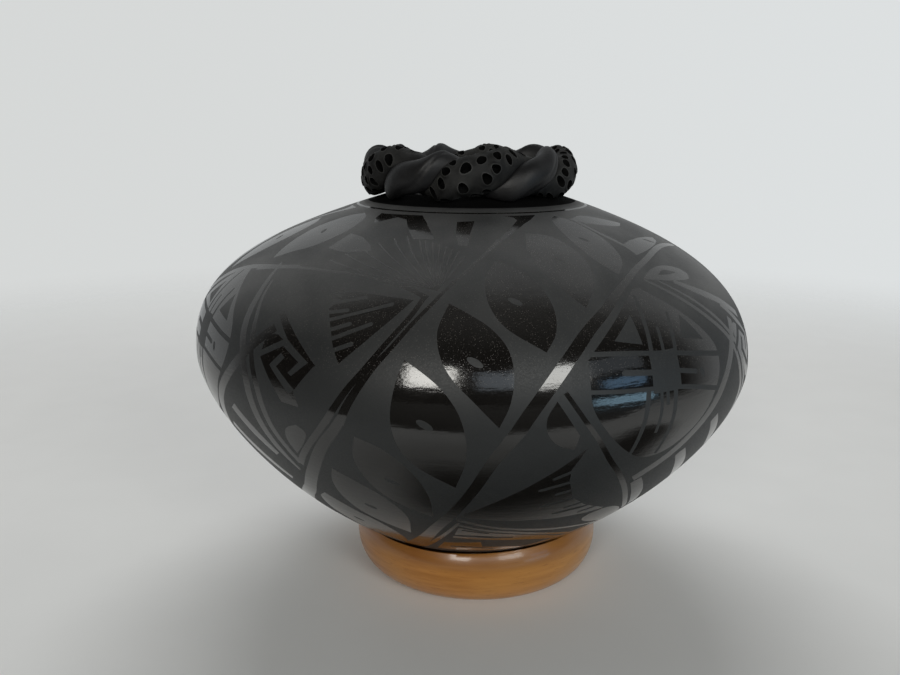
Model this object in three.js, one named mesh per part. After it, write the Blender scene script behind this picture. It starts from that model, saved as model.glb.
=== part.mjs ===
// Round-bottomed black clay jar (olla) with a twisted two-strand collar at its mouth,
// standing in a turned wooden ring. Millimetres, +Z up, front towards -Y.
// The origin is on the table, under the middle of the jar.
import * as THREE from "three";

// Jar
const BELLY_RADIUS = 76;
const BELLY_HEIGHT = 66.5;
const BOTTOM_HEIGHT = 4.4;      // lowest point of the round bottom, above the table
const HEEL_RADIUS = 18;
const HEEL_HEIGHT = 8.1;
const NECK_RADIUS = 21;
const NECK_HEIGHT = 108.2;
const MOUTH_RADIUS = 17.4;
const WALL = 4;
const LIP_RADIUS = WALL / 2;
const JAR_SIDES = 48;
const JAR_STEPS = 24;

// Hand-built lean: the widest line of the jar dips towards +X
const LEAN_SLOPE = 0.022;
const LEAN_SHIFT = -0.22;

// Twisted collar
const COLLAR_RADIUS = 24.3;
const COLLAR_HEIGHT = 113.4;
const COLLAR_HALF_WIDTH = 5.7;
const COLLAR_HALF_HEIGHT = 7.4;
const COLLAR_OFFSET = -1.2;     // the collar sits a little towards -X
const TWIST_TURNS = 5;
const TWIST_START = THREE.MathUtils.degToRad(-14.5);

// Sections of the strands, as shares of the collar's half width and half height.
// Each is a round lobe, cut flat where the strands press together.
const PIERCED = { middle: 0.27, radius: 0.71, flat: -0.075, turn: 0 };
const SMOOTH = { middle: 0.39, radius: 0.61, flat: 0.165, turn: Math.PI };
const STRAND_STEPS = 84;
const STRAND_ARC_POINTS = 8;
const STRAND_FLAT_POINTS = 3;

// Wooden ring
const RING_RADIUS = 28.2;
const RING_HALF_WIDTH = 7.1;
const RING_MIDDLE = 9.5;
const RING_HALF_HEIGHT = 9.7;   // more than RING_MIDDLE, so the ring has a flat foot
const RING_OFFSET = 1.8;        // the jar isn't quite central in the ring
const RING_SIDES = 48;
const RING_POINTS = 20;

const CLEARANCE = 0.5;          // between the jar and what it touches
const BLEND = 0.3;              // how softly a piece bends where it meets the jar

const materials = {
  jar: new THREE.MeshStandardMaterial({ color: 0x1a1b1d, roughness: 0.35, metalness: 0 }),
  smooth: new THREE.MeshStandardMaterial({ color: 0x333333, roughness: 0.5, metalness: 0 }),
  pierced: new THREE.MeshStandardMaterial({ color: 0x2e2e2f, roughness: 0.6, metalness: 0 }),
  wood: new THREE.MeshStandardMaterial({ color: 0x9c5c22, roughness: 0.25, metalness: 0 }),
};

// Outside of the jar, from the middle of its bottom to the start of its lip.
function jarOutline() {
  const path = new THREE.Path();
  path.moveTo(0, BOTTOM_HEIGHT);
  path.quadraticCurveTo(HEEL_RADIUS / 2, BOTTOM_HEIGHT, HEEL_RADIUS, HEEL_HEIGHT);
  path.bezierCurveTo(50.7, 21.5, BELLY_RADIUS, 51.6, BELLY_RADIUS, BELLY_HEIGHT);
  path.bezierCurveTo(BELLY_RADIUS, 86.8, 58, 96.8, NECK_RADIUS, NECK_HEIGHT);
  return path;
}

// Closed section of the jar's wall: outside, rounded lip, then back down the inside.
function jarSection() {
  const path = jarOutline();
  const outside = [];
  const inside = [];
  for (let i = 0; i <= JAR_STEPS; i++) {
    const point = path.getPointAt(i / JAR_STEPS);
    const along = i === 0 ? new THREE.Vector2(1, 0) : path.getTangentAt(i / JAR_STEPS);
    outside.push(point);
    inside.unshift(new THREE.Vector2(point.x - along.y * WALL, point.y + along.x * WALL));
  }
  const lipHeight = NECK_HEIGHT + (NECK_RADIUS - MOUTH_RADIUS) * 0.25 - LIP_RADIUS;
  const lip = new THREE.Path();
  lip.absarc(MOUTH_RADIUS + LIP_RADIUS, lipHeight, LIP_RADIUS, Math.PI / 2, Math.PI * 1.35);
  return [...outside, ...lip.getPoints(5), ...inside];
}

// Share of the lean at a height: none at the heel and the neck, all of it at the belly.
function leanWeight(height) {
  const reach = height > BELLY_HEIGHT ? NECK_HEIGHT - BELLY_HEIGHT : BELLY_HEIGHT - HEEL_HEIGHT;
  return Math.max(0, 1 - ((height - BELLY_HEIGHT) / reach) ** 2);
}

// Moves every point of a geometry by a rule that changes the point in place.
function reshape(geometry, rule) {
  const position = geometry.attributes.position;
  const point = new THREE.Vector3();
  for (let i = 0; i < position.count; i++) {
    rule(point.fromBufferAttribute(position, i));
    position.setXYZ(i, point.x, point.y, point.z);
  }
  return geometry;
}

function jar() {
  const geometry = new THREE.LatheGeometry(jarSection(), JAR_SIDES).rotateX(Math.PI / 2);
  return reshape(geometry, (point) => {
    const dip = LEAN_SLOPE * point.x * leanWeight(point.z);
    point.set(point.x + LEAN_SHIFT, point.y, point.z - dip);
  });
}

// Height of the jar's outside at a distance from its axis, on its upper or its lower half.
function jarHeight(radius, upper) {
  const points = jarOutline().getPoints(24).filter((point) => (point.y >= BELLY_HEIGHT) === upper);
  if (upper) points.reverse();
  const next = Math.max(1, points.findIndex((point) => point.x >= radius));
  const [a, b] = [points[next - 1], points[next]];
  return a.y + ((b.y - a.y) * (radius - a.x)) / (b.x - a.x);
}

// Keeps a distance above CLEARANCE, easing into it instead of stopping short.
function keepClear(distance) {
  const spare = distance - CLEARANCE;
  return CLEARANCE + (spare + Math.hypot(spare, BLEND)) / 2;
}

// Outline of one strand's section, from the end of its flat side round to the start of it.
function strandSection({ middle, radius, flat }) {
  const end = Math.acos((flat - middle) / radius);
  const points = [];
  for (let i = 0; i < STRAND_ARC_POINTS; i++) {
    const angle = end * ((2 * i) / (STRAND_ARC_POINTS - 1) - 1);
    points.push(new THREE.Vector2(middle + radius * Math.cos(angle), radius * Math.sin(angle)));
  }
  const [first, last] = [points[0], points[points.length - 1]];
  for (let i = 1; i < STRAND_FLAT_POINTS; i++) {
    points.push(last.clone().lerp(first, i / STRAND_FLAT_POINTS));
  }
  return points;
}

// One strand, wound round the collar's core line as it goes round the mouth.
function strand(shape) {
  const section = strandSection(shape);
  const positions = [];
  const faces = [];
  for (let step = 0; step < STRAND_STEPS; step++) {
    const around = (2 * Math.PI * step) / STRAND_STEPS;
    const twist = TWIST_START + TWIST_TURNS * around + shape.turn;
    section.forEach((point, i) => {
      const turned = point.clone().rotateAround(new THREE.Vector2(), twist);
      const radius = COLLAR_RADIUS + COLLAR_HALF_WIDTH * turned.x;
      const x = COLLAR_OFFSET + radius * Math.sin(around);
      const y = -radius * Math.cos(around);
      const seat = jarHeight(Math.hypot(x - LEAN_SHIFT, y), true);
      const height = seat + keepClear(COLLAR_HEIGHT + COLLAR_HALF_HEIGHT * turned.y - seat);
      positions.push(x, y, height);
      const [a, b] = [i, (i + 1) % section.length].map((k) => step * section.length + k);
      const [c, d] = [a, b].map((k) => (k + section.length) % (STRAND_STEPS * section.length));
      const splitOther = i >= STRAND_ARC_POINTS - 1 && shape === SMOOTH;
      faces.push(...(splitOther ? [a, d, b, a, c, d] : [a, c, b, b, c, d]));
    });
  }
  const geometry = new THREE.BufferGeometry();
  geometry.setAttribute("position", new THREE.Float32BufferAttribute(positions, 3));
  geometry.setIndex(faces);
  geometry.computeVertexNormals();
  return geometry;
}

// Turned ring with a flat foot, and a hollowed seat that follows the jar's underside.
function ring() {
  const footAngle = Math.asin(RING_MIDDLE / RING_HALF_HEIGHT);
  const points = [];
  for (let i = 0; i < RING_POINTS; i++) {
    const angle = -footAngle + ((Math.PI + 2 * footAngle) * i) / (RING_POINTS - 1);
    points.push(new THREE.Vector2(
      RING_RADIUS + RING_HALF_WIDTH * Math.cos(angle),
      Math.max(0, RING_MIDDLE + RING_HALF_HEIGHT * Math.sin(angle)),
    ));
  }
  points.push(points[0].clone());
  const geometry = new THREE.LatheGeometry(points, RING_SIDES).rotateX(Math.PI / 2);
  return reshape(geometry, (point) => {
    point.x += RING_OFFSET;
    const ceiling = jarHeight(Math.hypot(point.x - LEAN_SHIFT, point.y), false);
    if (point.z > RING_MIDDLE / 2) point.z = ceiling - keepClear(ceiling - point.z);
  });
}

const pot = new THREE.Group();
for (const [name, geometry, material] of [
  ["vessel", jar(), materials.jar],
  ["smooth_strand", strand(SMOOTH), materials.smooth],
  ["pierced_strand", strand(PIERCED), materials.pierced],
  ["ring_stand", ring(), materials.wood],
]) {
  const mesh = new THREE.Mesh(geometry, material);
  mesh.name = name;
  pot.add(mesh);
}

export default pot;
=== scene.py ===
"""Burnished black clay jar with a matte painted design and a twisted two-strand collar,
standing in a turned wooden ring. The shapes are worked out in millimetres, in the frame of the
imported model, and turned into metres when a mesh is made."""
import random
from math import acos, asin, ceil, cos, hypot, pi, radians, sin, tan

import bpy
import numpy as np
from mathutils import Matrix, Vector
from mathutils.geometry import delaunay_2d_cdt


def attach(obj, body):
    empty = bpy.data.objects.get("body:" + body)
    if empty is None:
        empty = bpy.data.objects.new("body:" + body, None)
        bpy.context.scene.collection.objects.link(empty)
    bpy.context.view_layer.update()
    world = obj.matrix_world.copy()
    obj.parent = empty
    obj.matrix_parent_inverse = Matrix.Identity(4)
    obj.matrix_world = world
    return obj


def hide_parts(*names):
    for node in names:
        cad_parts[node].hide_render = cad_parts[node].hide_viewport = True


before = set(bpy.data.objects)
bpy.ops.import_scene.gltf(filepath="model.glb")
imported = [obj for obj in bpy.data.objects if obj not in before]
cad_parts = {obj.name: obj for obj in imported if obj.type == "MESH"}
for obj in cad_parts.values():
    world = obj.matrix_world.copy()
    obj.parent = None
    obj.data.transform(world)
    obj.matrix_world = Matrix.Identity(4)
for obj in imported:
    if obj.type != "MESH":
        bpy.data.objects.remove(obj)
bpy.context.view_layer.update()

MM = 0.001

# ---- sizes (mm): as in part.mjs, but the collar's flats lie closer and its twist varies
BELLY_RADIUS = 76
BELLY_HEIGHT = 66.5
BOTTOM_HEIGHT = 4.4
HEEL_RADIUS = 18
HEEL_HEIGHT = 8.1
NECK_RADIUS = 21
NECK_HEIGHT = 108.2
MOUTH_RADIUS = 17.4
WALL = 4
LIP_RADIUS = WALL / 2
LEAN_SLOPE = 0.022
LEAN_SHIFT = -0.22

COLLAR_RADIUS = 24.3
COLLAR_HEIGHT = 113.4
COLLAR_HALF_WIDTH = 5.7
COLLAR_HALF_HEIGHT = 7.4
COLLAR_OFFSET = -1.2
TWIST_TURNS = 5
TWIST_START = radians(-14.5)
TWIST_PAUSE = 0.22  # how much the twist lingers where a strand faces outwards
# The twist is tighter, and the collar lower, within a short reach of one place on the front
TIGHT_PLACE, TIGHT_REACH, TIGHT_TWIST = radians(-15), radians(14), 0.75
TIGHT_PINCH = 0.13  # share of its height that the collar loses there
# Each strand's section is a round lobe cut off by a flat side, in shares of the collar's size
PIERCED = {"middle": 0.27, "radius": 0.71, "flat": -0.118, "turn": 0}
SMOOTH = {"middle": 0.39, "radius": 0.61, "flat": 0.122, "turn": pi}

RING_RADIUS = 28.2
RING_HALF_WIDTH = 7.1
RING_MIDDLE = 9.5
RING_HALF_HEIGHT = 9.7
RING_OFFSET = 1.8

CLEARANCE = 0.5  # between the jar and what touches it, as modelled
BLEND = 0.3  # how softly a surface turns where it meets that clearance

# ---- camera, floor and light (m)
CAMERA_PLACE = (0, -0.2467, 0.1254)
CAMERA_ANGLES = (radians(13.483), radians(-1.424), radians(0.148))  # pitch, yaw and roll
CAMERA_LENS, CAMERA_SENSOR = 35.2, 36

ROOM_FRONT, ROOM_BACK = (0.012, 0.010, 0.009), (0.46, 0.475, 0.48)
BACKDROP_LEFT, BACKDROP_RIGHT = (0.67, 0.685, 0.68), (0.725, 0.75, 0.755)
PAPER_DARK, PAPER_LIGHT = (0.76, 0.765, 0.755), (0.80, 0.805, 0.795)
FLOOR_HALF, FLOOR_WHOLE, FLOOR_GONE = 3.0, 0.24, 0.62

# Windows in front of the jar: bearing from the front, width, elevation and height in degrees,
# then watts, colour and distance
WINDOW_TARGET = Vector((0, -0.07, 0.07))
WINDOWS = {
    "window_left": (-15, 18, 21, 20, 7.9, (1.0, 0.98, 0.93), 1.5),
    "window_gap": (13, 18, 19, 16, 0.6, (0.8, 0.9, 1.0), 1.5),
    "window_middle": (34, 22, 21, 19, 6.6, (1.0, 1.0, 0.96), 1.5),
    "window_right_high": (62, 18, 8, 7, 0.42, (0.38, 0.66, 1.0), 1.5),
    "window_right_low": (62, 26, -6, 5, 0.09, (0.48, 0.78, 1.0), 0.5),
    "window_right_haze": (56, 34, 24, 14, 0.42, (0.8, 0.9, 1.0), 1.5),
}
# Dark cards, seen only in reflections, as painted shade on the floor in front of the jar: near and
# far edge towards the camera, left and right edge, and how wide their soft edges are
FLOOR_SHADE_CARDS = {
    "far_floor_shade_card": (0.155, 0.9, -0.9, 0.9, 0.015),
    "near_floor_shade_card": (0.030, 0.104, -0.040, 0.15, 0.03),
}
FLAG_HEIGHT, SHADE_CARD_COLOUR = 0.001, (0.02, 0.018, 0.016, 1)


def add_object(name, data):
    made = bpy.data.objects.new(name, data)
    bpy.context.scene.collection.objects.link(made)
    return made


def add_camera():
    pitch, yaw, roll = CAMERA_ANGLES
    forward = Vector((sin(yaw) * cos(pitch), cos(yaw) * cos(pitch), -sin(pitch)))
    level = Vector((cos(yaw), -sin(yaw), 0))
    rise = level.cross(forward)
    right = level * cos(roll) + rise * sin(roll)
    up = rise * cos(roll) - level * sin(roll)
    data = bpy.data.cameras.new("camera")
    data.lens, data.sensor_width = CAMERA_LENS, CAMERA_SENSOR
    data.clip_start = 0.01
    camera = add_object("camera", data)
    camera.matrix_world = Matrix((right, up, -forward)).transposed().to_4x4()
    camera.matrix_world.translation = CAMERA_PLACE
    bpy.context.scene.camera = camera


def add_area_light(name, place, target, size, watts, colour=(1, 1, 1)):
    """Soft rectangle of light that the camera doesn't see."""
    data = bpy.data.lights.new(name, "AREA")
    data.shape = "RECTANGLE"
    data.size, data.size_y = size
    data.energy = watts
    data.color = colour
    light = add_object(name, data)
    light.location = place
    light.rotation_euler = (Vector(target) - Vector(place)).to_track_quat("-Z", "Y").to_euler()
    light.visible_camera = False
    return light


class Nodes:
    """Short way to write a node tree: a call adds a node, sets its inputs and links sockets."""

    def __init__(self, tree):
        self.tree = tree
        tree.nodes.clear()

    def __call__(self, kind, settings=None, **inputs):
        node = self.tree.nodes.new("ShaderNode" + kind)
        for name, value in (settings or {}).items():
            setattr(node, name, value)
        for name, value in inputs.items():
            socket = node.inputs[int(name[1:])] if name[0] == "i" and name[1:].isdigit() \
                else node.inputs[name.replace("_", " ")]
            self.put(socket, value)
        return node

    def put(self, socket, value):
        """Links a socket to the value if that is a socket too, and otherwise sets it."""
        if isinstance(value, bpy.types.NodeSocket):
            self.tree.links.new(value, socket)
        else:
            socket.default_value = value

    def times(self, a, b):
        return self("Math", {"operation": "MULTIPLY"}, i0=a, i1=b).outputs[0]

    def plus(self, a, b):
        return self("Math", {"operation": "ADD"}, i0=a, i1=b).outputs[0]

    def ramp(self, value, low, high, start=0.0, end=1.0):
        """Eases from start to end while the value goes from low to high."""
        return self("MapRange", {"interpolation_type": "SMOOTHSTEP"}, Value=value, From_Min=low,
                    From_Max=high, To_Min=start, To_Max=end).outputs[0]

    def mix(self, share, a, b):
        """Colour that goes from a to b as the share goes from 0 to 1."""
        node = self("Mix", {"data_type": "RGBA"}, i0=share)
        for socket, value in zip(node.inputs[6:8], (a, b)):
            self.put(socket, (*value, 1) if isinstance(value, tuple) else value)
        return node.outputs[2]

    def noise(self, vector, scale, detail=2.0, roughness=0.5):
        return self("TexNoise", Vector=vector, Scale=scale, Detail=detail,
                    Roughness=roughness).outputs[0]

    def stretched(self, vector, scale):
        return self("Mapping", Vector=vector, Scale=scale).outputs[0]


def new_material(name):
    """A material, the short way to write its nodes, and the place on the object."""
    material = bpy.data.materials.new(name)
    material.use_nodes = True
    n = Nodes(material.node_tree)
    return material, n, n("TexCoord").outputs["Object"]


def add_world():
    """Pale all round and behind; a dark room in front and overhead, which the burnished clay
    mirrors. The camera itself sees only the pale backdrop."""
    world = bpy.data.worlds.new("studio")
    bpy.context.scene.world = world
    world.use_nodes = True
    n = Nodes(world.node_tree)
    direction = n("TexCoord").outputs["Generated"]
    x, y, z = n("SeparateXYZ", Vector=direction).outputs
    behind = n.ramp(y, -0.06, 0.38)
    ceiling = n.ramp(z, 0.35, 0.85, 1.0, 0.75)
    pale = n.times(behind, ceiling)
    room = n.mix(pale, ROOM_FRONT, ROOM_BACK)
    backdrop = n.mix(n.ramp(x, -0.6, 0.6), BACKDROP_LEFT, BACKDROP_RIGHT)
    seen = n("LightPath").outputs["Is Camera Ray"]
    colour = n.mix(seen, room, backdrop)
    n("OutputWorld", Surface=n("Background", Color=colour).outputs[0])


def blend_shaders(n, share, first, second):
    """Ends a material with a blend of two shaders."""
    shader = n("MixShader", i0=share, i1=first.outputs[0], i2=second.outputs[0])
    n("OutputMaterial", Surface=shader.outputs[0])


def add_sheet(name, material, xs, ys, height):
    """Level rectangle between two values of x and two of y."""
    mesh = bpy.data.meshes.new(name)
    corners = [(xs[0], ys[0]), (xs[1], ys[0]), (xs[1], ys[1]), (xs[0], ys[1])]
    mesh.from_pydata([(*corner, height) for corner in corners], [], [(0, 1, 2, 3)])
    mesh.materials.append(material)
    return add_object(name, mesh)


def add_floor():
    """Pale paper that fades into the backdrop a little way round the jar."""
    material, n, place = new_material("pale_paper")
    colour = n.mix(n.noise(place, 40.0), PAPER_DARK, PAPER_LIGHT)
    paper = n("BsdfPrincipled", Base_Color=colour, Roughness=0.9)
    distance = n("VectorMath", {"operation": "LENGTH"}, i0=place).outputs["Value"]
    fade = n.ramp(distance, FLOOR_WHOLE, FLOOR_GONE)
    clear = n("BsdfTransparent")
    blend_shaders(n, fade, paper, clear)
    floor = add_sheet("floor", material, (-FLOOR_HALF, FLOOR_HALF), (-FLOOR_HALF, FLOOR_HALF), 0)


def add_window(name, bearing, width, rise, height, watts, colour, distance):
    """Bright panel in front of the jar, which faces it. The burnished clay mirrors it."""
    turn, lift = radians(bearing), radians(rise)
    heading = Vector((sin(turn) * cos(lift), -cos(turn) * cos(lift), sin(lift)))
    size = [2 * distance * tan(radians(angle) / 2) for angle in (width, height)]
    add_area_light(name, WINDOW_TARGET + distance * heading, WINDOW_TARGET, size, watts, colour)


def add_lights():
    """The main light is behind and above the jar, and only its diffuse light counts."""
    softbox = add_area_light("softbox_behind", (-0.04, 0.44, 0.69), (0, 0, 0.05), (0.56, 0.34), 3.0)
    softbox.visible_glossy = False
    for name, window in WINDOWS.items():
        add_window(name, *window)


def add_floor_shade_card(name, near, far, left, right, soft):
    """Dark card lying on the floor in front of the jar, with soft edges: painted shade on the floor
    that the jar mirrors. Only reflections show it, and it casts no shadow."""
    material, n, place = new_material(name)
    x, y, _ = n("SeparateXYZ", Vector=place).outputs
    share = n.ramp(x, left, left + soft)
    for edge in (n.ramp(x, right - soft, right, 1.0, 0.0), n.ramp(y, -far, soft - far),
                 n.ramp(y, -near - soft, -near, 1.0, 0.0)):
        share = n.times(share, edge)
    card = n("BsdfPrincipled", Base_Color=SHADE_CARD_COLOUR, Roughness=0.9)
    blend_shaders(n, share, n("BsdfTransparent"), card)
    flag = add_sheet(name, material, (left, right), (-far, -near), FLAG_HEIGHT)
    flag.visible_camera = flag.visible_diffuse = flag.visible_shadow = False


# ---- the jar's outline


def bezier(points, count):
    """Points along a Bezier curve of any degree, without its last point."""
    share = np.linspace(0, 1, count, endpoint=False)[:, None]
    rows = [np.array([point], float) for point in points]
    while len(rows) > 1:
        rows = [a + (b - a) * share for a, b in zip(rows, rows[1:])]
    return rows[0]


class Outline:
    """Outside of the jar as a table of radius, height and normal along its length.
    The length is 0 at the belly, negative below it and positive above it."""

    def __init__(self, count=600):
        belly, heel = (BELLY_RADIUS, BELLY_HEIGHT), (HEEL_RADIUS, HEEL_HEIGHT)
        bottom, neck = (0, BOTTOM_HEIGHT), (NECK_RADIUS, NECK_HEIGHT)
        points = np.concatenate([
            bezier([bottom, (HEEL_RADIUS / 2, BOTTOM_HEIGHT), heel], count),
            bezier([heel, (50.7, 21.5), (BELLY_RADIUS, 51.6), belly], count),
            bezier([belly, (BELLY_RADIUS, 86.8), (58, 96.8), neck], count), [neck]])
        steps = np.hypot(*np.diff(points, axis=0).T)
        length = np.concatenate([[0], np.cumsum(steps)])
        self.length = length - length[2 * count]
        self.radius, self.height = points.T
        along = np.gradient(points, length, axis=0)
        along /= np.hypot(*along.T)[:, None]
        self.normal = np.stack([along[:, 1], -along[:, 0]], 1)
        self.belly = 2 * count

    def at(self, length):
        """Radius, height and normal at some lengths, as rows."""
        columns = (self.radius, self.height, self.normal[:, 0], self.normal[:, 1])
        return np.stack([np.interp(length, self.length, column) for column in columns], 1)

    def height_at(self, radius, upper):
        """Height of the outside at a distance from the jar's axis, above or below the belly."""
        if upper:
            return np.interp(radius, self.radius[:self.belly - 1:-1],
                             self.height[:self.belly - 1:-1])
        return np.interp(radius, self.radius[:self.belly], self.height[:self.belly])


OUTLINE = Outline()
LOWEST, HIGHEST = OUTLINE.length[0], OUTLINE.length[-1]


def lean(points, normals):
    """Tips the belly line of the jar a little towards +X, as in part.mjs."""
    x, z = points[:, 0].copy(), points[:, 2].copy()
    reach = np.where(z > BELLY_HEIGHT, NECK_HEIGHT - BELLY_HEIGHT, BELLY_HEIGHT - HEEL_HEIGHT)
    off = (z - BELLY_HEIGHT) / reach
    weight = np.maximum(0, 1 - off ** 2)
    slope_x = LEAN_SLOPE * weight
    slope_z = np.where(weight > 0, -2 * LEAN_SLOPE * x * off / reach, 0)
    points[:, 0] += LEAN_SHIFT
    points[:, 2] -= LEAN_SLOPE * x * weight
    normals[:, 0] += normals[:, 2] * slope_x / (1 - slope_z)
    normals[:, 2] /= 1 - slope_z
    normals /= np.linalg.norm(normals, axis=1)[:, None]
    return points, normals


# ---- the painted design
# One repeat of the design, drawn on the unrolled jar: degrees round it from the front,
# and mm along its outline from the belly, upwards. Burnished shapes lie on matte slip, and
# matte details lie on them. A repeat is 99 degrees wide on the front, and the four of them are
# squeezed a little round the sides and back to close the circle. Every other repeat has an eyed
# leaf and petals where its neighbours have a fan, a wedge and flares.
REPEAT = 99.0
FRONT = (-52.0, 62.0)
REPEATS = 4
DEGREE = 1.15  # mm that a degree is drawn as, when widths and steps are set
STEP = 1.3  # mm between the points of a drawn line
SHEET_COLUMNS, SHEET_ROWS = 66, 128  # in one repeat
DESIGN_LOW, DESIGN_HIGH = -84.0, HIGHEST
BURNISHED, MATTE, RAW, PAINTED_SHADE = 0, 1, 2, 3
SHADE_START = 66.2  # painted shade round the foot of the neck, under the collar, starts at this length


def squeezed(angle):
    """Angle round the real jar of an angle in the drawn design."""
    left, right = FRONT
    share = (360 - (right - left)) / (REPEATS * REPEAT - (right - left))
    return np.where(angle > right, right + (angle - right) * share,
                    np.where(angle < left, left + (angle - left) * share, angle))


def curve(points, closed=False):
    """Smooth line through the points, with one point about every STEP."""
    drawn = np.array(points, float) * (DEGREE, 1)
    count = len(drawn)
    if closed:
        padded = np.concatenate([drawn[-1:], drawn, drawn[:2]])
    else:
        padded = np.concatenate([[2 * drawn[0] - drawn[1]], drawn, [2 * drawn[-1] - drawn[-2]]])
    out = []
    for i in range(count if closed else count - 1):
        a, b, c, d = padded[i:i + 4]
        steps = max(1, ceil(np.hypot(*(c - b)) / STEP))
        for t in np.linspace(0, 1, steps, endpoint=False):
            out.append(0.5 * (2 * b + (c - a) * t + (2 * a - 5 * b + 4 * c - d) * t ** 2
                              + (3 * b - 3 * c + d - a) * t ** 3))
    if not closed:
        out.append(drawn[-1])
    return np.array(out) / (DEGREE, 1)


def straight(points):
    """Closed outline with straight sides, with one point about every STEP."""
    out = []
    for a, b in zip(points, [*points[1:], points[0]]):
        a, b = np.array(a, float), np.array(b, float)
        steps = max(1, ceil(hypot(*((b - a) * (DEGREE, 1))) / STEP))
        out += [a + (b - a) * t for t in np.linspace(0, 1, steps, endpoint=False)]
    return np.array(out)


def band(points, *widths):
    """Outline of a line whose width in mm goes evenly through the widths given."""
    line = curve(points) * (DEGREE, 1)
    along = np.gradient(line, axis=0)
    along /= np.hypot(*along.T)[:, None]
    share = np.linspace(0, 1, len(line))
    half = np.interp(share, np.linspace(0, 1, len(widths)), widths)[:, None] / 2
    across = np.stack([-along[:, 1], along[:, 0]], 1) * half
    return np.concatenate([line + across, (line - across)[::-1]]) / (DEGREE, 1)


def stroke(start, end, width=1.0):
    """Short straight brush stroke with rounded ends."""
    start, end = np.array(start) * (DEGREE, 1), np.array(end) * (DEGREE, 1)
    heading = np.arctan2(*(end - start)[::-1])
    turns = np.linspace(pi / 2, 3 * pi / 2, 6) + heading
    cap = np.stack([np.cos(turns), np.sin(turns)], 1) * width / 2
    return np.concatenate([start + cap, end - cap]) / (DEGREE, 1)


def patch(*sides):
    """Closed outline from smooth sides, with corners where they meet."""
    return np.concatenate([curve(side) for side in sides])


def all_round(low, high):
    """Band between two lengths along the outline, right across a repeat."""
    half = REPEAT / 2
    return straight([(-half, low), (half, low), (half, high), (-half, high)])


def leaf(tip, end, *sides):
    """Pointed oval from its two tips and the points of its two sides between them."""
    first, second = (curve([tip, *side, end]) for side in sides)
    return np.concatenate([first[:-1], second[::-1][:-1]])


def eye(angle, length, width=2.7, tall=1.8):
    """Small oval that slants down to the right."""
    turns = np.linspace(0, 2 * pi, 12, endpoint=False)
    across, along = width / 2 * np.cos(turns), tall / 2 * np.sin(turns)
    return np.stack([angle + across, length + along - 0.55 * across], 1)


# Each leaf: its top and bottom tip, its left and right side between them, then its eye
TOP_LEAF = ((37, 60.5), (35, 33.5), [(33, 58), (31, 50), (32, 40)],
            [(42, 57), (44, 48), (41, 39)], (36, 48))
WIDE_TOP_LEAF = ((47, 60), (42, 33.6), [(39, 56.5), (35, 50), (36, 44), (39, 38)],
                 [(53, 57), (55, 50), (52, 42), (46, 37)], (44.5, 48))
LEAVES = [
    ((18, 52.5), (22.2, 24.6), [(15.5, 46), (15.8, 38), (19, 30)],
     [(26, 50), (29.5, 42), (27.5, 33)], (22, 40)),
    ((6, 40.5), (12.6, 14.6), [(3.6, 36), (2.9, 31), (3.6, 25.5), (6.3, 20)],
     [(11, 37), (14.4, 31), (15.6, 25), (14.9, 19)], (8.5, 27)),
    ((-4, 26.2), (4.6, -1), [(-5.6, 19), (-4.7, 13), (-2.6, 8.6), (0.6, 4.4)],
     [(0, 23.3), (3.6, 20), (6.2, 15.5), (7, 10), (6.3, 4)], (0.8, 12.5)),
    ((-10.6, 12.3), (-2.4, -18.6), [(-11.8, 7), (-12.5, 0), (-11.5, -7), (-8.6, -12.5)],
     [(-7.2, 9.6), (-4.2, 6.4), (-1.8, 2), (-0.6, -3.5), (-0.6, -10)], (-7, -1)),
    ((-19, -5.6), (-7.8, -33), [(-20.2, -12), (-19.4, -18), (-17, -24.3), (-13, -29)],
     [(-14.5, -8), (-11, -12.3), (-8.6, -18), (-7.5, -25)], (-14, -18.5)),
    ((-26, -17.4), (-16, -46.4), [(-27.9, -23), (-28.2, -29.5), (-26.4, -36), (-22.4, -41)],
     [(-21.5, -21), (-17.3, -25.5), (-14.7, -31), (-14, -37)], (-22, -32)),
    ((-34, -31), (-24, -62), [(-37.8, -35), (-39.6, -43), (-37, -51), (-32, -57)],
     [(-28.5, -37), (-24, -42), (-21.3, -48), (-21, -55)], (-31.5, -44.5)),
    ((-44, -48), (-40, -77), [(-49, -53), (-51, -60), (-48, -68)],
     [(-37, -53), (-33, -60), (-34, -69)], (-43, -61)),
]

FAN_APEX = (-6.6, 29.8)
FAN_TIPS = [(-36, 37), (-33.5, 40), (-30.5, 43), (-27, 46), (-23.5, 48.5), (-20, 50), (-16.5, 51),
            (-13.5, 48.5), (-11, 47.5), (-8.8, 47), (-6.8, 46), (-5, 45), (-3.2, 44), (-1.6, 42)]


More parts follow.
